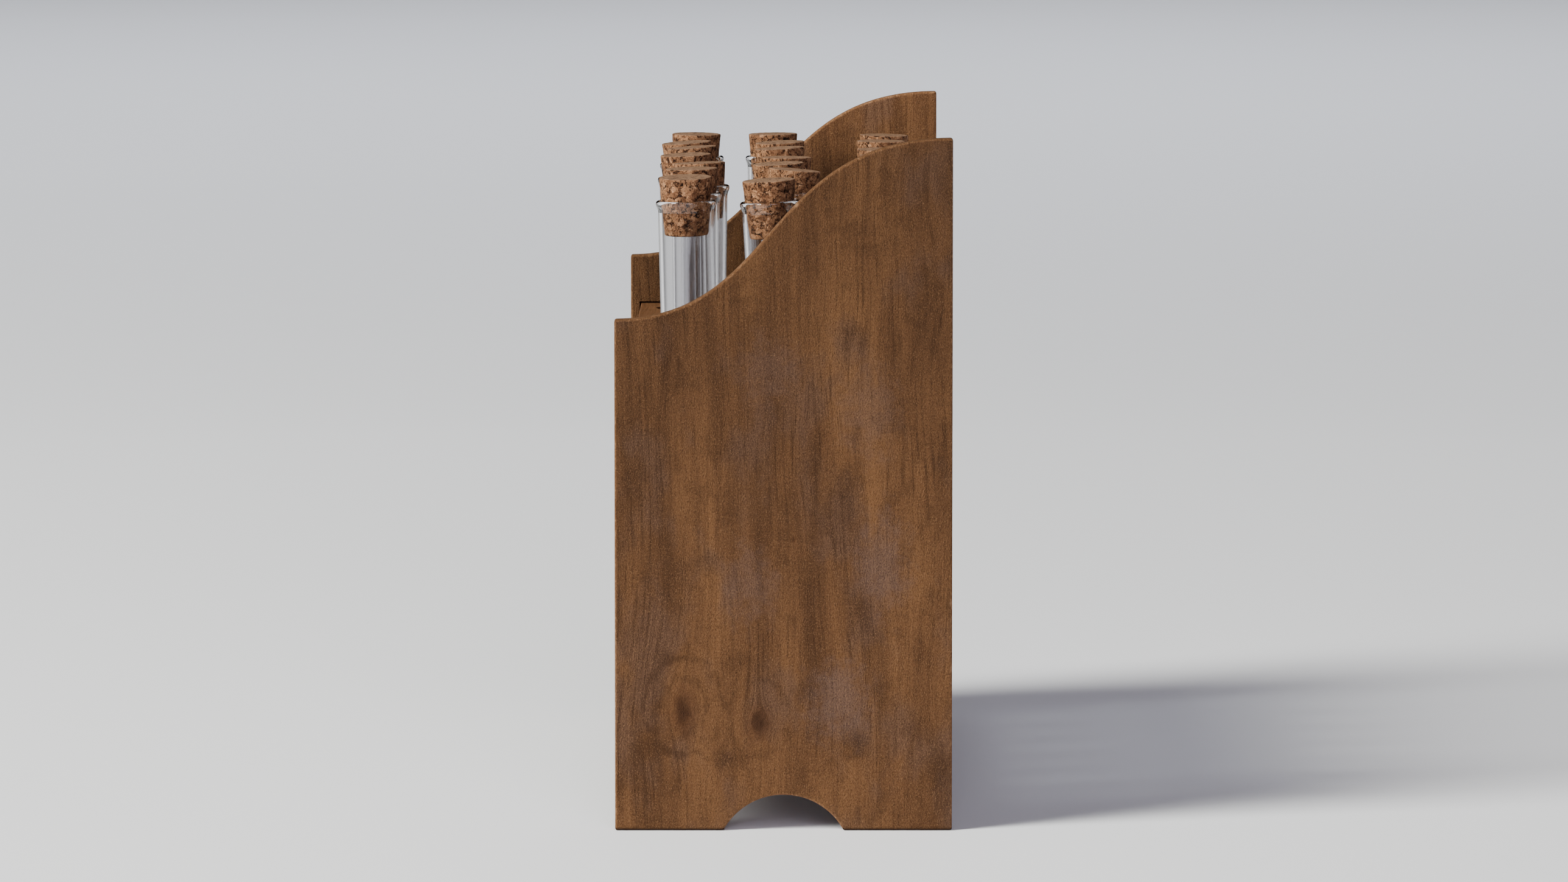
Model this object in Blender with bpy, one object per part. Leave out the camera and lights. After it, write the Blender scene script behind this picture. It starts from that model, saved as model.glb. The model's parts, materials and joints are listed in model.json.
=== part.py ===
"""Wooden test-tube rack with three rows of seven corked glass test tubes.

Frame: the rack is 256 mm long along X and 96 mm deep along Y, with its low front at -Y and its
tall back at +Y. It stands on Z = 0, and the origin is the middle of its footprint. All lengths
are metres.

Two side panels carry two boards in blind housings: a drilled tube board near the top and a base
board with a shallow socket under each hole. Every tube leans a little in its oversized hole, and
a tapered cork closes it. A tube lifts out along its own axis, and so does the cork in it.
"""

import math

import bmesh
import bpy
from mathutils import Matrix, Vector

# Rack
RACK_LENGTH = 0.256
RACK_DEPTH = 0.096
BACK_HEIGHT = 0.1975
FRONT_HEIGHT = 0.146
PANEL_THICKNESS = 0.006
EDGE_ROUND = 0.001

# The panel's top edge is one cubic curve that is level at both ends; these are its handles.
CURVE_FRONT_HANDLE = 0.047
CURVE_BACK_HANDLE = 0.0547
CURVE_STEPS = 28

# Foot arch under each side panel
ARCH_RADIUS = 0.0195
ARCH_HEIGHT = 0.0102
ARCH_STEPS = 14

# Boards
BOARD_THICKNESS = 0.008
BOARD_INSET = 0.0032
TUBE_BOARD_TOP = 0.131
BASE_BOARD_TOP = 0.0212
BOARD_EDGE_ROUND = 0.0006
HOUSING_DEPTH = 0.003
HOUSING_GAP = 0.0005

# Holes, on a grid of rows along X
ROW_PITCH = 0.028
TUBE_PITCH = 0.0345
TUBES_PER_ROW = 7
HOLE_RADIUS = 0.0115
SOCKET_DEPTH = 0.003

# Tubes
TUBE_LENGTH = 0.160
TUBE_RADIUS = 0.008
BORE_RADIUS = 0.00705
RIM_RADIUS = 0.0086
RIM_HEIGHT = 0.003
LIP_FLARE = 0.0004
REST_GAP = 0.0003

# Corks
CORK_HEIGHT = 0.0166
CORK_TOP_RADIUS = 0.0076
CORK_BOTTOM_RADIUS = 0.00625
CORK_SEAT = 0.0101
CORK_EDGE = 0.0004

# Facets
ROUND_SEGMENTS = 16
DOME_RINGS = 3

# How each tube leans, in mm across the rack, from the right end of its row to the left: where its
# foot stands and where its head is, both from the middle of its hole. Then how far its cork sits
# above the usual depth.
ROWS = {
    "front": {
        "y": -ROW_PITCH,
        "foot": (3.7, 1.0, 1.6, -0.3, 0.2, -0.6, 0.5),
        "head": (-0.1, 1.5, 3.6, -1.0, 0.6, -1.4, 0.8),
        "cork": (0.2, 0.4, -0.1, 0.3, 0.3, -0.2, 0.4),
    },
    "middle": {
        "y": 0.0,
        "foot": (4.4, 1.0, -0.6, 0.3, -0.4, -0.5, -1.5),
        "head": (-4.3, 2.8, -1.3, 0.8, -0.9, -0.9, -3.3),
        "cork": (-0.5, 0.0, -0.2, -0.6, 0.1, -0.1, 0.4),
    },
    "back": {
        "y": ROW_PITCH,
        "foot": (0.5, 0.6, -0.3, 0.8, 0.7, 1.0, 1.4),
        "head": (-1.0, 1.2, 0.4, 2.2, 1.9, 1.9, 3.3),
        "cork": (0.1, -0.3, 0.3, 0.0, -0.2, 0.2, 0.0),
    },
}
HEAD_HEIGHT = 0.185

# How far a tube leans along the rack, and how that changes from one tube to the next
SWAY = 0.9
SWAY_STEP = 2.4
SWAY_SHIFT = 60.0

MM = 0.001

FRONT = -RACK_DEPTH / 2
BACK = RACK_DEPTH / 2
PANEL_INNER = RACK_LENGTH / 2 - PANEL_THICKNESS
BOARD_HALF_LENGTH = PANEL_INNER + HOUSING_DEPTH - HOUSING_GAP
FOOT_CENTRE = BASE_BOARD_TOP - SOCKET_DEPTH + REST_GAP + TUBE_RADIUS


def clear_scene():
    """Remove every object that the file opened with."""
    for old in list(bpy.data.objects):
        bpy.data.objects.remove(old, do_unlink=True)


# --- materials


def material(name, colour, roughness, metallic=0.0, transmission=0.0):
    """A Principled material with one colour."""
    made = bpy.data.materials.new(name)
    made.use_nodes = True
    shader = made.node_tree.nodes["Principled BSDF"]
    shader.inputs["Base Color"].default_value = (*colour, 1.0)
    shader.inputs["Roughness"].default_value = roughness
    shader.inputs["Metallic"].default_value = metallic
    shader.inputs["Transmission Weight"].default_value = transmission
    made.diffuse_color = (*colour, 1.0)
    return made


# --- mesh helpers


def object_from(bm, name, finish):
    """Turn a bmesh into a linked object with one material."""
    mesh = bpy.data.meshes.new(name)
    bm.to_mesh(mesh)
    bm.free()
    mesh.materials.append(finish)
    made = bpy.data.objects.new(name, mesh)
    bpy.context.collection.objects.link(made)
    return made


def prism(outline, low, high, along):
    """A closed prism: a counter-clockwise outline swept from low to high by the function along."""
    bm = bmesh.new()
    floor = [bm.verts.new(along(u, v, low)) for u, v in outline]
    face = bm.faces.new(floor)
    grown = bmesh.ops.extrude_face_region(bm, geom=[face])
    raised = [part for part in grown["geom"] if isinstance(part, bmesh.types.BMVert)]
    shift = Vector(along(0.0, 0.0, high)) - Vector(along(0.0, 0.0, low))
    bmesh.ops.translate(bm, verts=raised, vec=shift)
    bmesh.ops.recalc_face_normals(bm, faces=bm.faces)
    return bm


def block(low, high):
    """A plain box between two corners."""
    bm = bmesh.new()
    size = Vector(high) - Vector(low)
    place = Matrix.Translation((Vector(high) + Vector(low)) / 2) @ Matrix.Diagonal((*size, 1.0))
    bmesh.ops.create_cube(bm, size=1.0, matrix=place)
    return bm


def lathe(profile, segments=ROUND_SEGMENTS):
    """Turn (radius, z) points about Z; a point of radius 0 closes the surface."""
    bm = bmesh.new()
    rings = []
    for radius, z in profile:
        if radius == 0.0:
            rings.append([bm.verts.new((0.0, 0.0, z))])
            continue
        angles = [2 * math.pi * step / segments for step in range(segments)]
        rings.append([bm.verts.new((radius * math.cos(a), radius * math.sin(a), z)) for a in angles])
    for lower, upper in zip(rings, rings[1:]):
        for step in range(segments):
            following = (step + 1) % segments
            if len(lower) == 1:
                bm.faces.new((lower[0], upper[following], upper[step]))
            elif len(upper) == 1:
                bm.faces.new((lower[step], lower[following], upper[0]))
            else:
                bm.faces.new((lower[step], lower[following], upper[following], upper[step]))
    bmesh.ops.recalc_face_normals(bm, faces=bm.faces)
    return bm


def round_edges(target, width, segments=1):
    """Bevel the sharp edges of a box or a panel."""
    bevel = target.modifiers.new("round_edges", "BEVEL")
    bevel.width = width
    bevel.segments = segments
    bevel.limit_method = "ANGLE"
    bevel.angle_limit = math.radians(40)


def cut(target, cutter):
    """Subtract a cutter object from the target."""
    boolean = target.modifiers.new("cut_" + cutter.name, "BOOLEAN")
    boolean.operation = "DIFFERENCE"
    boolean.object = cutter
    cutter.hide_render = True
    cutter.display_type = "WIRE"


def smooth(target, angle=35):
    """Shade a round piece smooth, with its sharp edges kept."""
    target.data.shade_smooth()
    target.data.set_sharp_from_angle(angle=math.radians(angle))


# --- the rack


def panel_outline():
    """The side panel's outline in (y, z), counter-clockwise from the front foot."""
    arch_centre = ARCH_HEIGHT - ARCH_RADIUS
    half_angle = math.acos(-arch_centre / ARCH_RADIUS)
    points = [(FRONT, 0.0)]
    for step in range(ARCH_STEPS + 1):
        angle = -half_angle + 2 * half_angle * step / ARCH_STEPS
        rise = arch_centre + ARCH_RADIUS * math.cos(angle)
        points.append((ARCH_RADIUS * math.sin(angle), max(rise, 0.0)))
    points.append((BACK, 0.0))
    start = Vector((BACK, BACK_HEIGHT))
    end = Vector((FRONT, FRONT_HEIGHT))
    leave = start - Vector((CURVE_BACK_HANDLE, 0.0))
    arrive = end + Vector((CURVE_FRONT_HANDLE, 0.0))
    for step in range(CURVE_STEPS + 1):
        t = step / CURVE_STEPS
        s = 1.0 - t
        point = s**3 * start + 3 * s * s * t * leave + 3 * s * t * t * arrive + t**3 * end
        points.append((point.x, point.y))
    return points


def housing_cutter(name, side, top):
    """The blind slot that holds one end of a board."""
    low = (
        side * (PANEL_INNER - PANEL_THICKNESS),
        FRONT + BOARD_INSET - HOUSING_GAP,
        top - BOARD_THICKNESS - HOUSING_GAP,
    )
    high = (
        side * (PANEL_INNER + HOUSING_DEPTH),
        BACK - BOARD_INSET + HOUSING_GAP,
        top + HOUSING_GAP,
    )
    corners = list(zip(low, high))
    return object_from(
        block([min(pair) for pair in corners], [max(pair) for pair in corners]), name, None
    )


def side_panel(name, side, finish):
    """One end of the rack, with its curved top edge, foot arch and two blind housings."""
    low, high = sorted((side * PANEL_INNER, side * RACK_LENGTH / 2))
    made = object_from(prism(panel_outline(), low, high, lambda u, v, w: (w, u, v)), name, finish)
    round_edges(made, EDGE_ROUND)
    for board, top in (("tube_board", TUBE_BOARD_TOP), ("base_board", BASE_BOARD_TOP)):
        cut(made, housing_cutter(f"housing_{board}_{name}", side, top))
    return made


def hole_places():
    """The middle of every hole, as (x, y)."""
    return [(tube_x(index), row["y"]) for row in ROWS.values() for index in range(TUBES_PER_ROW)]


def tube_x(index):
    """Where a row's tube stands along the rack: index 0 is at the right end."""
    return ((TUBES_PER_ROW - 1) / 2 - index) * TUBE_PITCH


def drill(name, low, high):
    """One cutter that bores every hole of a board between two heights."""
    bm = bmesh.new()
    for x, y in hole_places():
        bmesh.ops.create_cone(
            bm,
            cap_ends=True,
            segments=ROUND_SEGMENTS,
            radius1=HOLE_RADIUS,
            radius2=HOLE_RADIUS,
            depth=high - low,
            matrix=Matrix.Translation((x, y, (low + high) / 2)),
        )
    return object_from(bm, name, None)


def board(name, top, bore_from, finish):
    """A board across the rack, bored from the height bore_from up through its top face."""
    made = object_from(
        block(
            (-BOARD_HALF_LENGTH, FRONT + BOARD_INSET, top - BOARD_THICKNESS),
            (BOARD_HALF_LENGTH, BACK - BOARD_INSET, top),
        ),
        name,
        finish,
    )
    round_edges(made, BOARD_EDGE_ROUND)
    cut(made, drill(f"drill_{name}", bore_from, top + BOARD_THICKNESS))
    return made


# --- tubes and corks


def dome(radius, centre, rising):
    """The rings of a round bottom, from its pole to its equator, or back where rising is False."""
    rings = [(0.0, centre - radius)]
    for step in range(1, DOME_RINGS + 1):
        angle = math.pi / 2 * step / DOME_RINGS
        rings.append((radius * math.sin(angle), centre - radius * math.cos(angle)))
    return rings if rising else rings[::-1]


def tube_mesh():
    """A round-bottomed tube with a beaded rim, turned about the middle of its round bottom."""
    top = TUBE_LENGTH - TUBE_RADIUS
    profile = dome(TUBE_RADIUS, 0.0, rising=True)
    profile += [
        (TUBE_RADIUS, top - RIM_HEIGHT),
        (RIM_RADIUS, top - 0.7 * RIM_HEIGHT),
        (RIM_RADIUS, top - 0.3 * RIM_HEIGHT),
        (BORE_RADIUS + LIP_FLARE, top),
        (BORE_RADIUS, top - 0.5 * RIM_HEIGHT),
    ]
    profile += dome(BORE_RADIUS, 0.0, rising=False)
    return lathe(profile)


def cork_mesh():
    """A tapered cork that stands on its narrow end."""
    slope = (CORK_TOP_RADIUS - CORK_BOTTOM_RADIUS) / CORK_HEIGHT
    return lathe(
        [
            (0.0, 0.0),
            (CORK_BOTTOM_RADIUS - CORK_EDGE, 0.0),
            (CORK_BOTTOM_RADIUS + slope * CORK_EDGE, CORK_EDGE),
            (CORK_TOP_RADIUS - slope * CORK_EDGE, CORK_HEIGHT - CORK_EDGE),
            (CORK_TOP_RADIUS - CORK_EDGE, CORK_HEIGHT),
            (0.0, CORK_HEIGHT),
        ]
    )


def tube_axis(row, index):
    """Where a tube's foot is, and the unit vector that it leans along."""
    x = tube_x(index)
    sway = SWAY * MM * math.sin(SWAY_STEP * (index + 1) + SWAY_SHIFT * row["y"])
    foot = Vector((x - sway, row["y"] + row["foot"][index] * MM, FOOT_CENTRE))
    head = Vector((x + sway, row["y"] + row["head"][index] * MM, HEAD_HEIGHT))
    return foot, (head - foot).normalized()


def corked_tube(row_name, index, glass, cork):
    """A tube standing in its hole, and the cork that it carries."""
    row = ROWS[row_name]
    foot, lean = tube_axis(row, index)
    tube = object_from(tube_mesh(), f"tube_{row_name}_{index + 1}", glass)
    tube.location = foot
    tube.rotation_mode = "QUATERNION"
    tube.rotation_quaternion = Vector((0.0, 0.0, 1.0)).rotation_difference(lean)
    smooth(tube)
    stopper = object_from(cork_mesh(), f"cork_{row_name}_{index + 1}", cork)
    stopper.parent = tube
    seat = TUBE_LENGTH - TUBE_RADIUS - CORK_SEAT + row["cork"][index] * MM
    stopper.location = (0.0, 0.0, seat)
    smooth(stopper)


def main():
    clear_scene()
    panel_wood = material("panel_wood", (0.16, 0.075, 0.032), 0.6)
    board_wood = material("board_wood", (0.22, 0.105, 0.045), 0.5)
    glass = material("glass", (0.93, 0.95, 0.96), 0.02, transmission=1.0)
    cork = material("cork", (0.42, 0.24, 0.13), 0.85)

    side_panel("side_panel_right", 1, panel_wood)
    side_panel("side_panel_left", -1, panel_wood)
    board("tube_board", TUBE_BOARD_TOP, TUBE_BOARD_TOP - 2 * BOARD_THICKNESS, board_wood)
    board("base_board", BASE_BOARD_TOP, BASE_BOARD_TOP - SOCKET_DEPTH, board_wood)
    for row_name in ROWS:
        for index in range(TUBES_PER_ROW):
            corked_tube(row_name, index, glass, cork)


main()
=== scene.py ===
"""Looks of a wooden test-tube rack with three rows of seven corked glass test tubes.

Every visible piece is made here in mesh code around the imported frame, in metres. The rack's low
front is at -Y and its tall back at +Y, and number 1 of each row is at the right end, +X.
"""

import json
import math

import bmesh
import bpy
import numpy as np
from mathutils import Matrix, Vector, kdtree, noise

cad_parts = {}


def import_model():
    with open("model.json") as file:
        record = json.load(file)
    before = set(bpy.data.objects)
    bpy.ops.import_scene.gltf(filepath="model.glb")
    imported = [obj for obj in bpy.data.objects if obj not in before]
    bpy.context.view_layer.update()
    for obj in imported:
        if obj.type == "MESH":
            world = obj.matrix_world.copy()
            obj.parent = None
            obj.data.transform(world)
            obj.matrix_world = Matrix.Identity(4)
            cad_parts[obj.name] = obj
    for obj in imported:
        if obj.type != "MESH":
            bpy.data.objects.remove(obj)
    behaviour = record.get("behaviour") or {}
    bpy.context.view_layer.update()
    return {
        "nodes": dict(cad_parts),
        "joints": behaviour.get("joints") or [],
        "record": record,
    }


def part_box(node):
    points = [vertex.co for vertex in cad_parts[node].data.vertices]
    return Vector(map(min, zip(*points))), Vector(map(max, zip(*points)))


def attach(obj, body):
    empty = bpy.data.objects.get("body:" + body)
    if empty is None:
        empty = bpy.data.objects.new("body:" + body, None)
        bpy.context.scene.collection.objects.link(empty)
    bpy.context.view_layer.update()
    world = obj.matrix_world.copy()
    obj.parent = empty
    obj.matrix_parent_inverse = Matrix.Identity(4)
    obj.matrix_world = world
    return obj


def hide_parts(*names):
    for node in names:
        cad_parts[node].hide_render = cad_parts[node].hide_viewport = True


MM = 0.001
ROWS = ("front", "middle", "back")
TUBES_PER_ROW = 7
TUBE_PITCH = 0.0345
ROW_PITCH = 0.028
HOLE_RADIUS = 0.0115
SOCKET_DEPTH = 0.003

# Side panel
CURVE_FRONT_HANDLE = 0.047
CURVE_BACK_HANDLE = 0.0547
ARCH_RADIUS = 0.0195
ARCH_HEIGHT = 0.0102
FILLET = 0.0007
CORNER = 0.00075
HOUSING_DEPTH = 0.003
HOUSING_GAP = 0.0005
ARCH_STEPS = 36
PANEL_STEP = 0.0012

# Boards
BOARD_EDGE = 0.0005
BOARD_STEP = 0.004
HOLE_EASE = 0.00045
HOLE_SIDES = 56

# Tube, measured from the middle of its round bottom
TUBE_LENGTH = 0.160
TUBE_RADIUS = 0.008
BORE_RADIUS = 0.00705
TUBE_TOP = TUBE_LENGTH - TUBE_RADIUS
TUBE_SIDES = 72
WALL_RINGS = 34
WALL_WAVE = 0.00002
# The beaded rim's radius and its height from the top, in mm, from the outside to the bore
BEAD = (
    (8.00, -3.3), (8.05, -2.8), (8.22, -2.2), (8.45, -1.6), (8.60, -1.05), (8.58, -0.60),
    (8.38, -0.20), (8.02, 0.0), (7.62, -0.03), (7.30, -0.22), (7.12, -0.60), (7.06, -1.2),
)

# Cork, measured from its narrow end
CORK_HEIGHT = 0.0166
CORK_TOP_RADIUS = 0.0076
CORK_BOTTOM_RADIUS = 0.00625
CORK_SEAT = 0.0101
CORK_EDGE = 0.00038
CORK_CELLS = 34
CORK_LEVELS = 46
GRAINS = 1500
TORN_SHARE = 0.018
# How far each cork stands off its seat along the tube, in mm
CORK_LIFT = {
    "front": (0.2, 0.4, -0.1, 0.3, 0.3, -0.2, 0.4),
    "middle": (-0.5, 0.0, -0.2, -0.6, 0.1, -0.1, 0.4),
    "back": (0.1, -0.3, 0.3, 0.0, -0.2, 0.2, 0.0),
}
# How far each cork is tipped in its tube, in degrees: about X, then about Y
CORK_TIP = {
    "front": ((0.0, 2.3), (1.5, 0.4), (3.0, -0.5), (2.0, 0.3), (3.8, 0.2), (3.5, 0.4), (-0.6, 0.2)),
    "middle": ((0.0, 0.6), (-4.0, 0.2), (2.6, 0.3), (0.0, -0.4), (3.0, 0.3), (2.5, 0.2), (0.0, 0.3)),
    "back": ((0.5, 0.3), (-0.4, 0.2), (0.8, -0.3), (0.0, 0.2), (0.3, 0.3), (0.0, 0.2), (-0.4, 0.2)),
}

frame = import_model()


# --- small helpers


def smoothstep(low, high, value):
    """0 below low, 1 above high, and an S-shaped rise between them."""
    t = min(max((value - low) / (high - low), 0.0), 1.0)
    return t * t * (3.0 - 2.0 * t)


def noise_at(x, y=0.0, z=0.0):
    """Smooth noise of about -1 to 1."""
    return noise.noise(Vector((x, y, z)))


def object_from(bm, name, finish):
    """Turn a bmesh into a linked object with one material."""
    bmesh.ops.recalc_face_normals(bm, faces=bm.faces)
    mesh = bpy.data.meshes.new(name)
    bm.to_mesh(mesh)
    bm.free()
    mesh.materials.append(finish)
    made = bpy.data.objects.new(name, mesh)
    bpy.context.scene.collection.objects.link(made)
    return made


# --- node trees


class Tree:
    """Short calls for building one material's nodes."""

    def __init__(self, name):
        self.material = bpy.data.materials.new(name)
        self.material.use_nodes = True
        self.nodes = self.material.node_tree.nodes
        self.links = self.material.node_tree.links
        self.nodes.clear()

    def add(self, kind, inputs=None, **settings):
        node = self.nodes.new(kind)
        for key, value in settings.items():
            setattr(node, key, value)
        for key, value in (inputs or {}).items():
            self.set(node.inputs[key], value)
        return node

    def set(self, socket, value):
        if isinstance(value, bpy.types.NodeSocket):
            self.links.new(value, socket)
        elif value is not None:
            socket.default_value = value

    def math(self, operation, a, b=None):
        node = self.add("ShaderNodeMath", operation=operation)
        for socket, value in zip(node.inputs, (a, b)):
            self.set(socket, value)
        return node.outputs[0]

    def plus(self, a, b):
        return self.math("ADD", a, b)

    def minus(self, a, b):
        return self.math("SUBTRACT", a, b)

    def times(self, a, b):
        return self.math("MULTIPLY", a, b)

    def over(self, a, b):
        return self.math("DIVIDE", a, b)

    def vectors(self, operation, a, b):
        node = self.add("ShaderNodeVectorMath", operation=operation)
        self.set(node.inputs[0], a)
        self.set(node.inputs[1], b)
        return node.outputs[0]

    def scaled(self, vector, factors):
        """A vector times another, part by part."""
        return self.vectors("MULTIPLY", vector, factors)

    def millimetres(self):
        """The point's place on its own piece, in mm."""
        return self.scaled(self.add("ShaderNodeTexCoord").outputs["Object"], (1 / MM,) * 3)

    def split(self, vector):
        return self.add("ShaderNodeSeparateXYZ", {0: vector}).outputs

    def join(self, x, y, z):
        return self.add("ShaderNodeCombineXYZ", {0: x, 1: y, 2: z}).outputs[0]

    def noise(self, vector, scale=1.0, detail=2.0, roughness=0.5, output="Fac"):
        values = {"Vector": vector, "Scale": scale, "Detail": detail, "Roughness": roughness}
        return self.add("ShaderNodeTexNoise", values).outputs[output]

    def cloud(self, vector, factors, detail=2.0, roughness=0.5):
        """Noise drawn out differently along each axis."""
        return self.noise(self.scaled(vector, factors), 1.0, detail, roughness)

    def step(self, value, low, high, to_low=0.0, to_high=1.0):
        """A smooth step from to_low at low to to_high at high."""
        node = self.add("ShaderNodeMapRange", interpolation_type="SMOOTHSTEP")
        for key, setting in enumerate((value, low, high, to_low, to_high)):
            self.set(node.inputs[key], setting)
        return node.outputs[0]

    def ramp(self, value, stops):
        node = self.add("ShaderNodeValToRGB", {0: value})
        ramp = node.color_ramp
        while len(ramp.elements) < len(stops):
            ramp.elements.new(0.5)
        for element, (place, colour) in zip(ramp.elements, stops):
            element.position = place
            element.color = (*colour, 1.0)
        return node.outputs[0]

    def mix(self, factor, a, b, blend="MIX"):
        node = self.add("ShaderNodeMix", data_type="RGBA", blend_type=blend, clamp_factor=True)
        self.set(node.inputs[0], factor)
        for socket, value in ((node.inputs[6], a), (node.inputs[7], b)):
            self.set(socket, (*value, 1.0) if isinstance(value, tuple) else value)
        return node.outputs[2]

    def attribute(self, name):
        return self.add("ShaderNodeAttribute", attribute_name=name).outputs["Fac"]

    def bump(self, height, strength, distance):
        inputs = {"Strength": strength, "Distance": distance, "Height": height}
        return self.add("ShaderNodeBump", inputs).outputs[0]

    def matt(self, colour, roughness, normal):
        """A finished material with hardly any gloss."""
        inputs = {"Base Color": colour, "Roughness": roughness, "Normal": normal, "Specular IOR Level": 0.08}
        return self.finish(self.add("ShaderNodeBsdfPrincipled", inputs).outputs[0])

    def finish(self, shader):
        self.links.new(shader, self.add("ShaderNodeOutputMaterial").inputs["Surface"])
        return self.material


# --- wood

# Linear colours
DARK_GRAIN = (0.024, 0.0104, 0.0044)
GREY_PATCH = (0.084, 0.047, 0.0300)
# The light specks on the raised grains of the fine relief: a painted highlight
PAINTED_SPECK_HIGHLIGHT = (0.185, 0.098, 0.046)
LAVENDER = (0.104, 0.064, 0.048)
KNOT_HALO = (0.048, 0.018, 0.007)
KNOT_CORE = (0.020, 0.008, 0.0035)
EDGE_WOOD = (0.200, 0.092, 0.038)
WORN_WOOD = (0.330, 0.185, 0.095)
PANEL_TONES = (
    (0.34, (0.061, 0.0280, 0.0120)),
    (0.50, (0.096, 0.0445, 0.0186)),
    (0.66, (0.138, 0.0650, 0.0262)),
)
BOARD_TONES = (
    (0.30, (0.100, 0.043, 0.018)),
    (0.48, (0.128, 0.056, 0.023)),
    (0.66, (0.155, 0.070, 0.030)),
)
# Knots: Y and Z in mm, how far drawn out upwards, core radius in mm, then each ring's radius and strength
PANEL_KNOTS = (
    (-28.4, 34.2, 1.9, 2.3, ((6.3, 0.30), (11.2, 0.40))),
    (-7.0, 30.9, 1.45, 2.4, ((8.6, 0.25),)),
    (2.9, 83.4, 1.3, 0.5, ()),
)
FAR_KNOTS = ((21.0, 118.0, 1.5, 2.0, ((9.0, 0.3),)),)
# Clouds in the stain: Y and Z in mm, how far drawn out upwards, radius in mm, strength, tone
PANEL_SPOTS = (
    (16.5, 37.0, 1.30, 13.0, 0.60, LAVENDER),
    (28.0, 77.0, 1.80, 11.0, 0.55, LAVENDER),
    (24.0, 120.0, 1.60, 12.0, 0.35, LAVENDER),
    (-4.0, 132.0, 1.20, 12.0, 0.35, LAVENDER),
    (-9.0, 70.0, 1.60, 10.0, 0.40, LAVENDER),
    (20.1, 24.0, 1.00, 7.0, 0.46, DARK_GRAIN),
    (5.6, 40.5, 1.40, 4.0, 0.36, DARK_GRAIN),
    (43.5, 18.0, 1.30, 6.5, 0.40, DARK_GRAIN),
    (38.0, 29.0, 1.20, 5.5, 0.32, DARK_GRAIN),
    (-38.5, 23.0, 0.80, 7.0, 0.34, DARK_GRAIN),
    (-16.0, 20.6, 0.50, 8.0, 0.40, DARK_GRAIN),
    (-33.0, 50.0, 0.60, 5.5, 0.32, DARK_GRAIN),
    (-12.0, 48.5, 0.70, 6.5, 0.30, DARK_GRAIN),
    (18.0, 92.0, 2.60, 5.0, 0.34, DARK_GRAIN),
    (0.0, 90.0, 2.20, 4.5, 0.30, DARK_GRAIN),
    (22.0, 62.0, 2.40, 4.5, 0.30, DARK_GRAIN),
    (-26.0, 92.0, 3.50, 3.0, 0.22, DARK_GRAIN),
)
# The colour is multiplied by a share that changes between two heights, in mm, from one share to another:
# painted light and shade, on the near panel darker towards the top, on the far panel darker low down and
# lighter near the top
PANEL_PAINTED_SHADING = (10.0, 195.0, 1.05, 0.76)
FAR_PAINTED_SHADING = (162.0, 188.0, 0.80, 1.24)
# The foot of a panel is painted dark below the second of these heights, in mm: a painted shadow where it
# meets the floor
FOOT_SHADOW_LINE = (1.1, 0.3)
GRAIN_WANDER = 17.0


def centred(tree, value, amount):
    """Noise of 0 to 1 turned into a push of about half the amount either way."""
    return tree.times(tree.minus(value, 0.5), amount)


def knot_field(tree, across, along, knot):
    """How far a point is from a knot, in mm, with the knot drawn out along the grain."""
    knot_across, knot_along, stretch = knot[:3]
    side = tree.minus(across, knot_across)
    up = tree.over(tree.minus(along, knot_along), stretch)
    return side, tree.math("SQRT", tree.plus(tree.times(side, side), tree.times(up, up)))


def part_round(tree, bent, side, distance, size):
    """The grain's place across the board, pushed apart around a knot."""
    near = tree.math("POWER", tree.over(distance, 3.2 * size), 2.0)
    near = tree.math("EXPONENT", tree.times(near, -1.0))
    push = tree.times(tree.over(side, tree.plus(distance, 0.8)), near)
    return tree.minus(bent, tree.times(push, 1.6 * size))


def paint_knot(tree, colour, place, across, along, knot, ragged, ripple):
    """Broken rings, a dark halo and a darker core."""
    size = knot[3]
    _, round_distance = knot_field(tree, across, along, (knot[0], knot[1] + 1.5, 1.25))
    circle = tree.plus(round_distance, centred(tree, ripple, 3.0))
    broken = tree.step(tree.noise(place, 0.16, 1.0), 0.40, 0.55)
    for ring, share in knot[4]:
        line = tree.math("ABSOLUTE", tree.minus(circle, ring))
        arc = tree.times(tree.step(line, 1.5, 0.1), share)
        colour = tree.mix(tree.times(arc, broken), colour, DARK_GRAIN)
    halo = tree.times(tree.step(ragged, 2.3 * size, 0.8 * size), 0.40)
    colour = tree.mix(halo, colour, KNOT_HALO)
    core = tree.step(ragged, 1.30 * size, 0.30 * size)
    return tree.mix(tree.times(core, 0.62), colour, KNOT_CORE)


def paint_spot(tree, colour, place, across, along, spot):
    """A soft cloud in the stain with an uneven border."""
    radius, strength, tone = spot[3:]
    _, distance = knot_field(tree, across, along, spot)
    uneven = centred(tree, tree.noise(place, 0.22, 3.0, 0.65), 1.7 * radius)
    soft = tree.step(tree.plus(distance, uneven), radius, 0.1 * radius)
    return tree.mix(tree.times(soft, strength), colour, tone)


def paint_wear_and_foot_shadow(tree, colour, dust):
    """Paler rounded edges and chips, and the painted shadow line along the foot, from the mesh's attributes.
    """
    edge = tree.attribute("edge")
    worn = tree.times(edge, tree.step(dust, 0.50, 0.66))
    colour = tree.mix(tree.times(edge, 0.42), colour, EDGE_WOOD)
    colour = tree.mix(tree.times(worn, 0.60), colour, WORN_WOOD)
    colour = tree.mix(tree.times(tree.attribute("chip"), 0.7), colour, WORN_WOOD)
    # Painted shadow: a dark line along the foot, where the panel meets the floor
    return tree.mix(tree.attribute("painted_foot_shadow"), colour, DARK_GRAIN)


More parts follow.
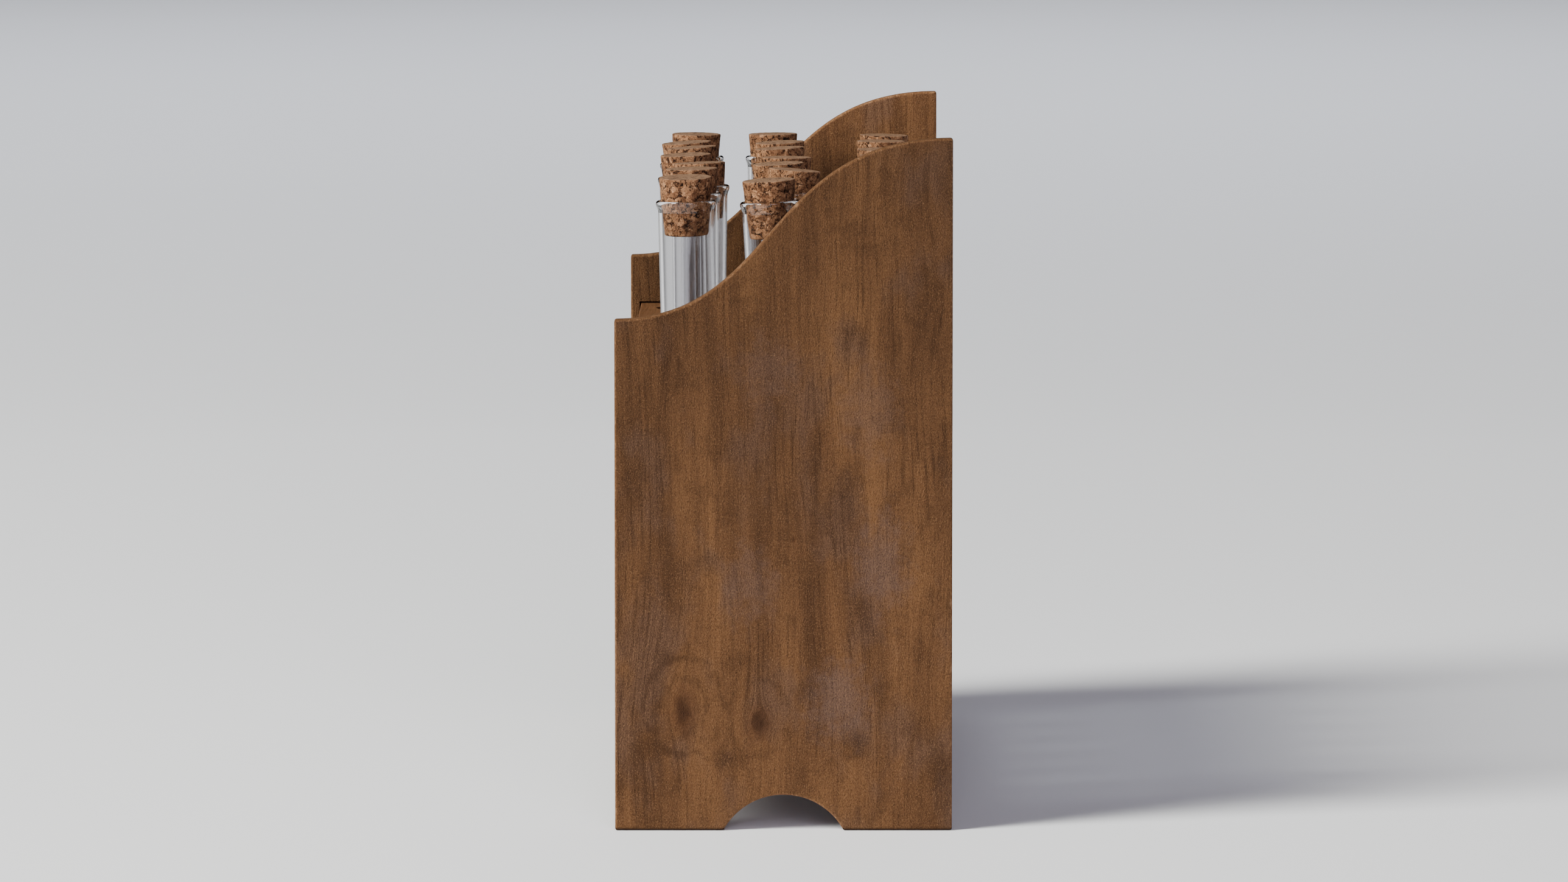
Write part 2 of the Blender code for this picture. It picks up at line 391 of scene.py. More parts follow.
def wood(name, axes, tones, knots=(), specks=1.0, roughness=0.6, painted_shading=None, spots=()):
    """Stained softwood. axes says which of X, Y, Z runs across, along and through the grain."""
    tree = Tree(name)
    place = tree.millimetres()
    parts = tree.split(place)
    across, along, through = (parts["XYZ".index(axis)] for axis in axes)
    wander = tree.noise(tree.join(across, tree.times(along, 0.25), through), 0.035, 2.0)
    bent = tree.plus(across, centred(tree, wander, GRAIN_WANDER))
    ripple = tree.noise(place, 0.35, 2.0, 0.6)
    ragged_fields = []
    for knot in knots:
        side, distance = knot_field(tree, across, along, knot)
        ragged_fields.append(tree.plus(distance, centred(tree, ripple, 2.6)))
        bent = part_round(tree, bent, side, distance, knot[3])

    def grain(fine, long, deep, detail, rough):
        vector = tree.join(tree.times(bent, fine), tree.times(along, long), tree.times(through, deep))
        return tree.noise(vector, 1.0, detail, rough)

    broad = grain(0.085, 0.013, 0.05, 3.0, 0.55)
    streak = grain(0.30, 0.020, 0.2, 2.0, 0.55)
    pores = grain(1.05, 0.040, 0.9, 2.0, 0.6)
    sand = tree.noise(tree.scaled(place, (1.0, 1.0, 0.62)), 3.4, 2.0, 0.7)
    dust = tree.noise(tree.scaled(place, (1.0, 1.0, 0.7)), 1.5, 3.0, 0.7)

    colour = tree.ramp(tree.plus(tree.times(broad, 0.75), tree.times(streak, 0.25)), tones)
    grey = tree.step(tree.cloud(place, (0.05, 0.05, 0.03), 3.0, 0.6), 0.50, 0.66)
    colour = tree.mix(tree.times(grey, 0.55), colour, GREY_PATCH)
    colour = tree.mix(tree.times(tree.step(streak, 0.44, 0.26), 0.16), colour, DARK_GRAIN)
    lined = tree.step(tree.cloud(place, (0.06, 0.06, 0.03)), 0.38, 0.60, 0.20, 0.50)
    colour = tree.mix(tree.times(tree.step(pores, 0.48, 0.34), lined), colour, DARK_GRAIN)
    smudge = tree.step(tree.cloud(place, (0.13, 0.13, 0.10), 3.0, 0.65), 0.50, 0.34)
    colour = tree.mix(tree.times(smudge, 0.28), colour, DARK_GRAIN)
    for spot in spots:
        colour = paint_spot(tree, colour, place, across, along, spot)
    colour = tree.mix(tree.times(tree.step(dust, 0.50, 0.34), 0.16 * specks), colour, DARK_GRAIN)
    # Fine specks that follow the sand relief of the bump: dark in its hollows as painted shade, light on its
    # raised grains as painted highlight
    colour = tree.mix(tree.times(tree.step(sand, 0.50, 0.32), 0.55 * specks), colour, DARK_GRAIN)
    colour = tree.mix(tree.times(tree.step(sand, 0.53, 0.70), 0.52 * specks), colour, PAINTED_SPECK_HIGHLIGHT)
    fleck = tree.times(tree.step(sand, 0.66, 0.72), tree.step(dust, 0.56, 0.66))
    colour = tree.mix(tree.times(fleck, 0.65 * specks), colour, WORN_WOOD)
    for knot, ragged in zip(knots, ragged_fields):
        colour = paint_knot(tree, colour, place, across, along, knot, ragged, ripple)
    colour = paint_wear_and_foot_shadow(tree, colour, dust)
    if painted_shading:
        # Painted light and shade: the colour darkened or lightened by height
        shade = tree.step(along, *painted_shading)
        colour = tree.mix(1.0, colour, tree.join(shade, shade, shade), "MULTIPLY")
        # Painted shadow: a dark line along the foot, where the panel stands on the floor
        colour = tree.mix(tree.times(tree.step(along, *FOOT_SHADOW_LINE), 0.85), colour, KNOT_CORE)
    height = tree.plus(tree.times(sand, 1.1), tree.times(pores, 0.8))
    height = tree.plus(height, tree.times(dust, 0.7))
    gloss = tree.step(sand, 0.2, 0.8, roughness - 0.08, roughness + 0.12)
    return tree.matt(colour, gloss, tree.bump(height, 1.0, 0.00055))


# --- cork, glass and floor

CORK_TONES = (
    (0.10, (0.040, 0.017, 0.008)),
    (0.30, (0.106, 0.047, 0.022)),
    (0.50, (0.188, 0.091, 0.043)),
    (0.70, (0.300, 0.156, 0.078)),
    (0.90, (0.460, 0.272, 0.150)),
)
CORK_CAP = (0.235, 0.148, 0.090)
CORK_GRIME = (0.090, 0.052, 0.032)
CORK_HAIR = (0.038, 0.016, 0.008)
CORK_CRACK = (0.016, 0.007, 0.004)
# The colour of the pits and hollows, near black: painted shade inside the holes
CORK_PIT_SHADE = (0.006, 0.004, 0.003)
# Granules and crumbs per mm
GRANULES = 0.62
CRUMBS = 1.5
GLASS_TINT = (0.988, 0.986, 0.996, 1.0)
GLASS_IOR = 1.48
# How much of a lamp's light one face of the glass lets through, below the cork and around it
GLASS_SHADOW = (0.62, 0.63, 0.65)
RIM_SHADOW = (0.95, 0.95, 0.95)


def pushed(tree, place, scale, amount):
    """The place, pushed about by noise so that the granules turn out ragged."""
    cloud = tree.noise(place, scale, 3.0, 0.65, output="Color")
    push = tree.scaled(tree.vectors("SUBTRACT", cloud, (0.5, 0.5, 0.5)), (amount,) * 3)
    return tree.vectors("ADD", place, push)


def cracks(tree, place, vector, scale, width, low, high):
    """Lines between the granules, open in places and closed in others."""
    edge = tree.add("ShaderNodeTexVoronoi", {"Vector": vector, "Scale": scale}, feature="DISTANCE_TO_EDGE")
    patchy = tree.step(tree.noise(place, 0.75, 2.0), low, high)
    line = tree.over(edge.outputs["Distance"], tree.plus(tree.times(patchy, width), 0.004))
    return tree.times(tree.step(line, 1.0, 0.35), tree.step(patchy, 0.0, 0.3))


def cork_material():
    """Pressed cork granules: tone, pit and cap come with the mesh, cracks and crumbs from here."""
    tree = Tree("cork_granules")
    lot = tree.attribute("lot")
    place = tree.vectors("ADD", tree.millimetres(), tree.join(lot, lot, tree.times(lot, 0.5)))
    tone, pit, cap = (tree.attribute(name) for name in ("tone", "pit", "cap"))
    coarse, fine = pushed(tree, place, 0.9, 1.5), pushed(tree, place, 2.2, 0.7)
    cell = tree.add("ShaderNodeTexVoronoi", {"Vector": coarse, "Scale": GRANULES})
    cell_value = tree.split(cell.outputs["Color"])[0]
    crumb = tree.add("ShaderNodeTexVoronoi", {"Vector": fine, "Scale": CRUMBS})
    crumb_value = tree.split(crumb.outputs["Color"])[1]
    fleck = tree.noise(place, 2.6, 4.0, 0.75)
    blotch = tree.noise(place, 0.9, 3.0, 0.65)
    level = tree.plus(tree.times(cell_value, 0.30), tree.times(crumb_value, 0.24))
    level = tree.plus(level, tree.times(tone, 0.16))
    level = tree.plus(level, centred(tree, fleck, 0.95))
    level = tree.plus(level, centred(tree, blotch, 0.45))
    colour = tree.ramp(tree.plus(level, 0.08), CORK_TONES)
    colour = tree.mix(tree.times(cap, 0.60), colour, CORK_CAP)
    grime = tree.times(cap, tree.step(fleck, 0.50, 0.36))
    colour = tree.mix(tree.times(grime, 0.55), colour, CORK_GRIME)
    wide = cracks(tree, place, coarse, GRANULES, 0.15, 0.42, 0.70)
    hair = cracks(tree, place, fine, CRUMBS, 0.12, 0.44, 0.74)
    open_line = tree.times(tree.minus(1.0, tree.times(cap, 0.45)), wide)
    colour = tree.mix(tree.times(hair, 0.70), colour, CORK_HAIR)
    colour = tree.mix(tree.times(open_line, 0.92), colour, CORK_CRACK)
    hollow = tree.step(tree.noise(coarse, 0.62, 3.0, 0.75), 0.615, 0.655)
    hollow = tree.times(hollow, tree.step(cap, 1.0, 0.0, 0.35, 1.0))
    dark = tree.math("MAXIMUM", hollow, pit)
    # Pits and hollows painted near black: painted shade inside the holes
    colour = tree.mix(tree.times(dark, 0.96), colour, CORK_PIT_SHADE)
    height = tree.minus(tree.times(crumb_value, 0.25), tree.times(hair, 0.35))
    height = tree.plus(height, tree.times(fleck, 0.9))
    height = tree.minus(height, tree.times(wide, 0.8))
    height = tree.minus(height, tree.times(dark, 0.9))
    return tree.matt(colour, 0.85, tree.bump(height, 0.75, 0.00022))


def glass_material():
    """Clear glass with faint handling marks. Lamps' rays pass straight through it."""
    tree = Tree("tube_glass_clear")
    place = tree.millimetres()
    smear = tree.cloud(place, (0.25, 0.25, 0.06), 3.0, 0.6)
    roughness = tree.step(smear, 0.45, 0.75, 0.048, 0.10)
    inputs = {"Base Color": GLASS_TINT, "Roughness": roughness, "IOR": GLASS_IOR, "Transmission Weight": 1.0}
    glass = tree.add("ShaderNodeBsdfPrincipled", inputs)
    cork_foot = (TUBE_TOP - CORK_SEAT) / MM
    at_cork = tree.step(tree.split(place)[2], cork_foot - 8.0, cork_foot - 2.0)
    shadow = tree.mix(at_cork, GLASS_SHADOW, RIM_SHADOW)
    passing = tree.add("ShaderNodeBsdfTransparent", {"Color": shadow})
    shadow_ray = tree.add("ShaderNodeLightPath").outputs["Is Shadow Ray"]
    mixed = tree.add("ShaderNodeMixShader", {0: shadow_ray, 1: glass.outputs[0], 2: passing.outputs[0]})
    return tree.finish(mixed.outputs[0])


def floor_material():
    tree = Tree("pale_floor")
    place = tree.add("ShaderNodeTexCoord").outputs["Object"]
    cloud = tree.noise(place, 1.4, 2.0)
    colour = tree.mix(cloud, (0.80, 0.80, 0.80), (0.82, 0.82, 0.82))
    shader = tree.add("ShaderNodeBsdfPrincipled", {"Base Color": colour, "Roughness": 0.9})
    return tree.finish(shader.outputs[0])


# --- wooden pieces


def cubic(t, start, leave, arrive, end):
    s = 1.0 - t
    return s**3 * start + 3 * s * s * t * leave + 3 * s * t * t * arrive + t**3 * end


def soften(points, radius, steps=4):
    """Round the sharp corners of a closed outline."""
    rounded = []
    for index, here in enumerate(points):
        before = points[index - 1] - here
        after = points[(index + 1) % len(points)] - here
        half = before.angle(after) / 2
        if half > math.radians(77):
            rounded.append(here)
            continue
        reach = min(radius / math.tan(half), 0.45 * min(before.length, after.length))
        first, last = here + before.normalized() * reach, here + after.normalized() * reach
        for step in range(steps + 1):
            t = step / steps
            rounded.append((1 - t) ** 2 * first + 2 * t * (1 - t) * here + t * t * last)
    return rounded


def finely(points, longest):
    """A closed outline with its long stretches divided."""
    fine = []
    for here, following in zip(points, points[1:] + points[:1]):
        count = max(1, math.ceil((following - here).length / longest))
        fine += [here.lerp(following, step / count) for step in range(count)]
    return fine


def inward(points):
    """The mitred inward direction at each point of a counter-clockwise outline."""
    directions = []
    for index, here in enumerate(points):
        back = (here - points[index - 1]).normalized()
        ahead = (points[(index + 1) % len(points)] - here).normalized()
        normal = Vector((-back.y, back.x)) + Vector((-ahead.y, ahead.x))
        normal.normalize()
        spread = max(0.5, normal.dot(Vector((-ahead.y, ahead.x))))
        directions.append(normal / spread)
    return directions


def panel_outline(low, high, front_height):
    """The side panel's outline in (y, z), counter-clockwise from the front foot."""
    centre = ARCH_HEIGHT - ARCH_RADIUS
    half = math.acos(-centre / ARCH_RADIUS)
    points = [Vector((low.y, 0.0))]
    for step in range(ARCH_STEPS + 1):
        angle = -half + 2 * half * step / ARCH_STEPS
        rise = max(centre + ARCH_RADIUS * math.cos(angle), 0.0)
        points.append(Vector((ARCH_RADIUS * math.sin(angle), rise)))
    points.append(Vector((high.y, 0.0)))
    start, end = Vector((high.y, high.z)), Vector((low.y, front_height))
    leave = start - Vector((CURVE_BACK_HANDLE, 0.0))
    arrive = end + Vector((CURVE_FRONT_HANDLE, 0.0))
    for t in [0.0, *np.linspace(0.016, 0.982, 84), 1.0]:
        points.append(cubic(float(t), start, leave, arrive, end))
    return finely(soften(points, CORNER), PANEL_STEP)


def lay_attribute(mesh, name, values):
    """Store one number per vertex for the material."""
    layer = mesh.attributes.new(name, "FLOAT", "POINT")
    layer.data.foreach_set("value", np.asarray(values, np.float32))


def join_rings(bm, lower, upper, smooth=True):
    """A band of faces between two rings of as many points."""
    for index in range(len(lower)):
        following = (index + 1) % len(lower)
        face = bm.faces.new((lower[index], lower[following], upper[following], upper[index]))
        face.smooth = smooth


def rounded_sheet(bm, outline, faces_at, radii, place, steps=4):
    """The rim of a plate: rings from one face, round its edge, to the other. Returns the rings."""
    near, far = faces_at
    direction = 1.0 if far > near else -1.0
    turned = inward(outline)
    rings = []
    quarter = np.linspace(0, math.pi / 2, steps + 1)
    path = [(1 - math.sin(a), 1 - math.cos(a), near, direction) for a in quarter]
    path += [(1 - math.sin(a), 1 - math.cos(a), far, -direction) for a in quarter[::-1]]
    for inset, depth, level, sign in path:
        ring = []
        for point, normal, radius in zip(outline, turned, radii):
            flat = point + normal * radius * inset
            ring.append(bm.verts.new(place(flat.x, flat.y, level + sign * radius * depth)))
        rings.append(ring)
    for lower, upper in zip(rings, rings[1:]):
        join_rings(bm, lower, upper)
    return rings


def loop_edges(bm, ring):
    made = []
    for here, following in zip(ring, ring[1:] + ring[:1]):
        made.append(bm.edges.get((here, following)) or bm.edges.new((here, following)))
    return made


def fill(bm, rings):
    """Fill the flat face between an outer ring and the holes in it."""
    edges = [edge for ring in rings for edge in loop_edges(bm, ring)]
    bmesh.ops.triangle_fill(bm, use_beauty=True, edges=edges)


def housing(bm, board_node, inner, sunk):
    """The blind pocket that takes a board's end. Returns the ring round its mouth."""
    low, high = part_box(board_node)
    y0, y1 = low.y - HOUSING_GAP, high.y + HOUSING_GAP
    z0, z1 = low.z - HOUSING_GAP, high.z + HOUSING_GAP
    corners = [Vector((y0, z0)), Vector((y1, z0)), Vector((y1, z1)), Vector((y0, z1))]
    outline = finely(corners, BOARD_STEP)
    mouth = [bm.verts.new((inner, p.x, p.y)) for p in outline]
    back = [bm.verts.new((sunk, p.x, p.y)) for p in outline]
    join_rings(bm, mouth, back, smooth=False)
    bm.faces.new(back)
    return mouth


def side_panel(name, node, finish, seed):
    """One end of the rack: softened edges, a foot arch and two blind housings for the boards."""
    low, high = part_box(node)
    outer, inner = (high.x, low.x) if high.x > 0 else (low.x, high.x)
    outline = panel_outline(low, high, front_top(node))
    radii = []
    for point in outline:
        wobble = 1.0 + 0.16 * noise_at(point.x * 160, point.y * 160, seed)
        chip = max(0.0, noise_at(point.x * 420, point.y * 420, seed + 7.0) - 0.38)
        radii.append(FILLET * (wobble + 1.3 * chip))
    bm = bmesh.new()
    rings = rounded_sheet(bm, outline, (outer, inner), radii, lambda u, v, w: (w, u, v))
    fill(bm, [rings[0]])
    sunk = inner + math.copysign(HOUSING_DEPTH, outer)
    mouths = [housing(bm, one, inner, sunk) for one in ("tube_board", "base_board")]
    fill(bm, [rings[-1], *mouths])
    made = object_from(bm, name, finish)
    shade_edges(made, outline, len(rings), radii)
    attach(made, "rack")
    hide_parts(node)


def front_top(node):
    """How high the front end of a side panel is."""
    low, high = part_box(node)
    front = [v.co.z for v in frame["nodes"][node].data.vertices if v.co.y < low.y + 0.0025]
    return max(front)


def shade_edges(made, outline, levels, radii):
    """Mark the rounded edge, its chips and the painted shadow line along the foot for the material."""
    count = len(made.data.vertices)
    edge, chip, painted_foot_shadow = np.zeros(count), np.zeros(count), np.zeros(count)
    for level in range(levels):
        turn = 1.0 - abs(2 * level / (levels - 1) - 1)
        on_turn = min(1.0, 2.5 * turn)
        for index, (point, radius) in enumerate(zip(outline, radii)):
            place = level * len(outline) + index
            edge[place] = min(1.0, 2.2 * turn)
            chip[place] = smoothstep(0.0, 0.25, radius / FILLET - 1.12) * on_turn
            # Painted shadow along the foot, within 1.2 mm of the floor
            painted_foot_shadow[place] = 0.9 * smoothstep(0.0012, 0.0, point.y) * on_turn
    lay_attribute(made.data, "edge", edge)
    lay_attribute(made.data, "chip", chip)
    lay_attribute(made.data, "painted_foot_shadow", painted_foot_shadow)


def circle(bm, centre, radius, z, sides):
    """A level ring of points round a place."""
    ring = []
    for step in range(sides):
        angle = 2 * math.pi * step / sides
        x, y = centre.x + radius * math.cos(angle), centre.y + radius * math.sin(angle)
        ring.append(bm.verts.new((x, y, z)))
    return ring


def eased(face_z, inside, turn):
    """(radius, z) round the eased mouth of a hole. inside is -1 where the hole goes down."""
    path = []
    for angle in turn:
        across, down = 1 - math.sin(angle), 1 - math.cos(angle)
        path.append((HOLE_RADIUS + HOLE_EASE * across, face_z + inside * HOLE_EASE * down))
    return path


def hole(bm, centre, low, high, sunk):
    """A through hole, or a socket with a floor. Returns its rings and how many round the upper mouth."""
    quarter = np.linspace(0, math.pi / 2, 4)
    path = eased(high.z, -1, quarter)
    if sunk:
        path.append((HOLE_RADIUS, high.z - SOCKET_DEPTH))
    else:
        path += eased(low.z, 1, quarter[::-1])
    rings = [circle(bm, centre, radius, z, HOLE_SIDES) for radius, z in path]
    for upper, lower in zip(rings, rings[1:]):
        join_rings(bm, lower, upper)
    if sunk:
        bm.faces.new(rings[-1])
    return rings, len(quarter)


def board(name, node, sunk, finish):
    """A board with its edges eased, bored through, or only sunk to take the tubes' round ends."""
    low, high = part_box(node)
    corners = [Vector(c) for c in ((low.x, low.y), (high.x, low.y), (high.x, high.y), (low.x, high.y))]
    outline = finely(soften(corners, BOARD_EDGE), BOARD_STEP)
    radii = [BOARD_EDGE] * len(outline)
    bm = bmesh.new()
    rings = rounded_sheet(bm, outline, (high.z, low.z), radii, lambda u, v, w: (u, v, w), steps=3)
    upper_mouths, lower_mouths, worn = [], [], []
    for row in (-1, 0, 1):
        for index in range(TUBES_PER_ROW):
            centre = Vector((((TUBES_PER_ROW - 1) / 2 - index) * TUBE_PITCH, row * ROW_PITCH))
            loops, at_mouth = hole(bm, centre, low, high, sunk)
            worn += [vert for loop in loops[:at_mouth] for vert in loop]
            upper_mouths.append(loops[0])
            if not sunk:
                lower_mouths.append(loops[-1])
    fill(bm, [rings[0], *upper_mouths])
    fill(bm, [rings[-1], *lower_mouths])
    bm.verts.index_update()
    marked = [vert.index for vert in worn]
    made = object_from(bm, name, finish)
    edge = np.zeros(len(made.data.vertices))
    edge[marked] = 0.5
    lay_attribute(made.data, "edge", edge)
    for zero in ("chip", "painted_foot_shadow"):
        lay_attribute(made.data, zero, np.zeros(len(edge)))
    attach(made, "rack")
    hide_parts(node)


# --- glass and cork


def between(p, q, r, s, t):
    """A Catmull-Rom curve's value from q to r, with p before and s after them."""
    bend = 2 * p - 5 * q + 4 * r - s
    twist = 3 * q - p - 3 * r + s
    return 0.5 * (2 * q + (r - p) * t + bend * t * t + twist * t**3)


def smooth_path(points, steps):
    """Points on a smooth curve through the given ones."""
    path = []
    padded = [points[0], *points, points[-1]]
    for four in zip(padded, padded[1:], padded[2:], padded[3:]):
        for step in range(steps):
            path.append(tuple(between(*values, step / steps) for values in zip(*four)))
    path.append(tuple(points[-1]))
    return path


def tube_profile():
    """(radius, z) of a tube from its outer pole over the beaded rim down to its inner pole."""
    quarter = np.linspace(0, math.pi / 2, 17)
    profile = [(TUBE_RADIUS * math.sin(a), -TUBE_RADIUS * math.cos(a)) for a in quarter]
    profile += [(TUBE_RADIUS, z) for z in np.linspace(0.004, TUBE_TOP - 0.0036, WALL_RINGS)]
    profile += smooth_path([(r * MM, TUBE_TOP + z * MM) for r, z in BEAD], 2)
    profile += [(BORE_RADIUS, z) for z in np.linspace(TUBE_TOP - 0.0020, 0.004, WALL_RINGS)]
    profile += [(BORE_RADIUS * math.sin(a), -BORE_RADIUS * math.cos(a)) for a in quarter[::-1]]
    return profile


def tube_mesh(seed):
    """A glass tube turned from its profile, with the faint unevenness of drawn glass."""
    bm = bmesh.new()
    rings = []
    for radius, z in tube_profile():
        if radius < 1e-7:
            rings.append([bm.verts.new((0.0, 0.0, z))])
            continue
        ring = []
        for step in range(TUBE_SIDES):
            angle = 2 * math.pi * step / TUBE_SIDES
            x, y = math.cos(angle), math.sin(angle)
            uneven = WALL_WAVE * noise_at(x * 0.8 + seed * 5.1, y * 0.8, z * 22 + seed)
            r = radius + uneven * min(1.0, radius / TUBE_RADIUS)
            ring.append(bm.verts.new((r * x, r * y, z)))
        rings.append(ring)
    for lower, upper in zip(rings, rings[1:]):
        if len(lower) == 1:
            fan(bm, lower[0], upper[::-1])
        elif len(upper) == 1:
            fan(bm, upper[0], lower)
        else:
            join_rings(bm, lower, upper)
    return bm


def fan(bm, pole, ring):
    """A fan of faces from a ring to its pole."""
    for index, here in enumerate(ring):
        face = bm.faces.new((here, ring[(index + 1) % len(ring)], pole))
        face.smooth = True


def disc_point(u, v):
    """A square of -1 to 1 pressed into the unit disc."""
    if abs(u) < 1e-9 and abs(v) < 1e-9:
        return 0.0, 0.0
    if abs(u) > abs(v):
        radius, angle = u, math.pi / 4 * (v / u)
    else:
        radius, angle = v, math.pi / 2 - math.pi / 4 * (u / v)
    return radius * math.cos(angle), radius * math.sin(angle)


def square_border(cells):
    """Points round a square of -1 to 1, so many to a side, counter-clockwise."""
    along = [-1 + 2 * k / cells for k in range(cells)]
    back = [1 - 2 * k / cells for k in range(cells)]
    border = [(u, -1.0) for u in along] + [(1.0, v) for v in along]
    return border + [(u, 1.0) for u in back] + [(-1.0, v) for v in back]


def cork_profile():
    """(radius, z) up the cork's wall, with both edges rounded."""
    slope = (CORK_TOP_RADIUS - CORK_BOTTOM_RADIUS) / CORK_HEIGHT

    def wall(z, inset=0.0):
        return CORK_BOTTOM_RADIUS + slope * z - inset, z

    quarter = np.linspace(0, math.pi / 2, 4)
    turn = [(CORK_EDGE * (1 - math.sin(a)), CORK_EDGE * (1 - math.cos(a))) for a in quarter]
    profile = [wall(rise, inset) for inset, rise in turn]
    profile += [wall(z) for z in np.linspace(CORK_EDGE, CORK_HEIGHT - CORK_EDGE, CORK_LEVELS)[1:-1]]
    profile += [wall(CORK_HEIGHT - rise, inset) for inset, rise in turn[::-1]]
    return profile


def cork_points():
    """Points and faces of a closed tapered cork with an even fine mesh."""
    cells = CORK_CELLS
    around = 4 * cells
    border = square_border(cells)
    directions = [disc_point(u, v) for u, v in border]
    profile = cork_profile()
    points, faces = [], []
    for radius, z in profile:
        points += [(radius * x, radius * y, z) for x, y in directions]
    for level in range(len(profile) - 1):
        for step in range(around):
            following = (step + 1) % around
            a, b = level * around + step, level * around + following
            faces.append((a, b, b + around, a + around))
    for ring, (radius, z), flip in ((0, profile[0], True), (len(profile) - 1, profile[-1], False)):
        grid = {}
        for k, (u, v) in enumerate(border):
            grid[round((u + 1) * cells / 2), round((v + 1) * cells / 2)] = ring * around + k
        for i in range(cells + 1):
            for j in range(cells + 1):
                if (i, j) not in grid:
                    grid[i, j] = len(points)
                    x, y = disc_point(-1 + 2 * i / cells, -1 + 2 * j / cells)
                    points.append((radius * x, radius * y, z))
        for i in range(cells):
            for j in range(cells):
                face = (grid[i, j], grid[i + 1, j], grid[i + 1, j + 1], grid[i, j + 1])
                faces.append(face[::-1] if flip else face)
    return np.array(points), faces


def granules(random, points):
    """Each point's tone and pit, and how far it is pushed out, in mm, by the granule it lies on."""
    seeds = random.uniform((-0.009, -0.009, -0.001), (0.009, 0.009, 0.0176), (GRAINS, 3))
    tones = np.clip(random.normal(0.50, 0.22, GRAINS), 0, 1)
    heights = random.normal(0, 1, GRAINS)
    torn = random.random(GRAINS) < TORN_SHARE
    tree = kdtree.KDTree(GRAINS)
    for index, seed_point in enumerate(seeds):
        tree.insert(seed_point, index)
    tree.balance()
    tone, pit, push = (np.zeros(len(points)) for _ in range(3))
    for index, point in enumerate(points):
        wave = Vector(point) * 900
        ragged = Vector((
            noise_at(wave.x, wave.y, wave.z),
            noise_at(wave.y, wave.z, wave.x + 9),
            noise_at(wave.z, wave.x, wave.y + 5),
        ))
        (_, first, near), (_, _, far) = tree.find_n(Vector(point) + 0.00075 * ragged, 2)
        gap = (far - near) / MM
        crack = smoothstep(-0.15, 0.45, noise_at(wave.x * 0.4, wave.y * 0.4, wave.z * 0.4 + 31.0))
        seam = smoothstep(0.22 + 0.16 * crack, 0.02, gap) * (0.30 + 0.70 * crack)
        inside = smoothstep(0.02, 0.35, gap)
        tone[index] = tones[first]
        pit[index] = inside if torn[first] else 0.0
        push[index] = 0.040 * heights[first] * inside - 0.08 * seam - 0.45 * pit[index]
    return tone, pit, np.minimum(push, 0.02)


def tipped(random, tip):
    """The turn about the mouth of the tube that tips a cork, after a random turn on its axis."""
    about_x, about_y = (math.radians(angle) for angle in tip)
    pivot = Vector((0.0, 0.0, CORK_SEAT))
    spin = float(random.uniform(0, 2 * math.pi))
    turn = Matrix.Rotation(about_x, 4, "X") @ Matrix.Rotation(about_y, 4, "Y") @ Matrix.Rotation(spin, 4, "Z")
    return np.array(Matrix.Translation(pivot) @ turn @ Matrix.Translation(-pivot))


def cork_mesh(name, shape, seed, tip):
    """Pressed granules: seams cut in between them, some torn out, then the cork is tipped."""
    points, faces = shape
    random = np.random.default_rng(4100 + seed)
    tone, pit, push = granules(random, points)
    upward = np.array((0.0, 0.0, 1.0))
    outward = points - upward * points[:, 2:3]
    outward /= np.maximum(np.linalg.norm(outward, axis=1, keepdims=True), 1e-9)
    radius = np.linalg.norm(points[:, :2], axis=1)
    wall = CORK_BOTTOM_RADIUS + (CORK_TOP_RADIUS - CORK_BOTTOM_RADIUS) * points[:, 2] / CORK_HEIGHT
    on_side = radius > wall - 0.0002
    on_top = points[:, 2] > CORK_HEIGHT - 0.0001
    on_bottom = points[:, 2] < 0.0001
    direction = np.where(on_side[:, None], outward, 0.0)
    direction = np.where(on_top[:, None] & ~on_side[:, None], upward, direction)
    direction = np.where(on_bottom[:, None] & ~on_side[:, None], -upward, direction)
    moved = points + direction * (push * np.where(on_side, 1.0, 0.55))[:, None] * MM
    turn = tipped(random, tip)
    moved = moved @ turn[:3, :3].T + turn[:3, 3]
    mesh = bpy.data.meshes.new(name)
    mesh.from_pydata(moved.tolist(), [], faces)
    mesh.shade_smooth()
    lay_attribute(mesh, "tone", tone)
    lay_attribute(mesh, "lot", np.full(len(points), 13.0 * seed))
    lay_attribute(mesh, "pit", pit)
    lay_attribute(mesh, "cap", np.where(on_top, 1.0, 0.0))
    return mesh


def seat(made, node, turn, place):
    """Stand a piece on its leaning axis and hand it to its CAD node."""
    made.rotation_mode = "QUATERNION"
    made.rotation_quaternion = turn
    made.location = place
    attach(made, node)
    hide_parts(node)


def corked_tube(row, index, glass, cork, shape):
    """A tube on its own leaning axis, and the cork in it."""
    number = index + 1
    node = f"tube_{row}_{number}"
    axis = Vector(next(j["axis"] for j in frame["joints"] if j["name"] == f"lift_{node}")).normalized()
    opening = next(o for o in frame["record"]["physics"]["openings"] if o["name"] == f"inside_{node}")
    low, high = (Vector(corner) for corner in opening["box_m"])
    middle = (low + high) / 2
    foot_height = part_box(node)[0].z + TUBE_RADIUS
    foot = middle + axis * (foot_height - middle.z) / axis.z
    turn = Vector((0.0, 0.0, 1.0)).rotation_difference(axis)
    seed = ROWS.index(row) * TUBES_PER_ROW + index

    tube = object_from(tube_mesh(seed), f"glass_{row}_{number}", glass)
    seat(tube, node, turn, foot)

    mesh = cork_mesh(f"stopper_{row}_{number}", shape, seed, CORK_TIP[row][index])
    mesh.materials.append(cork)
    stopper = bpy.data.objects.new(mesh.name, mesh)
    bpy.context.scene.collection.objects.link(stopper)
    mouth = foot + axis * (TUBE_TOP - CORK_SEAT + CORK_LIFT[row][index] * MM)
    seat(stopper, f"cork_{row}_{number}", turn, mouth)


# --- studio

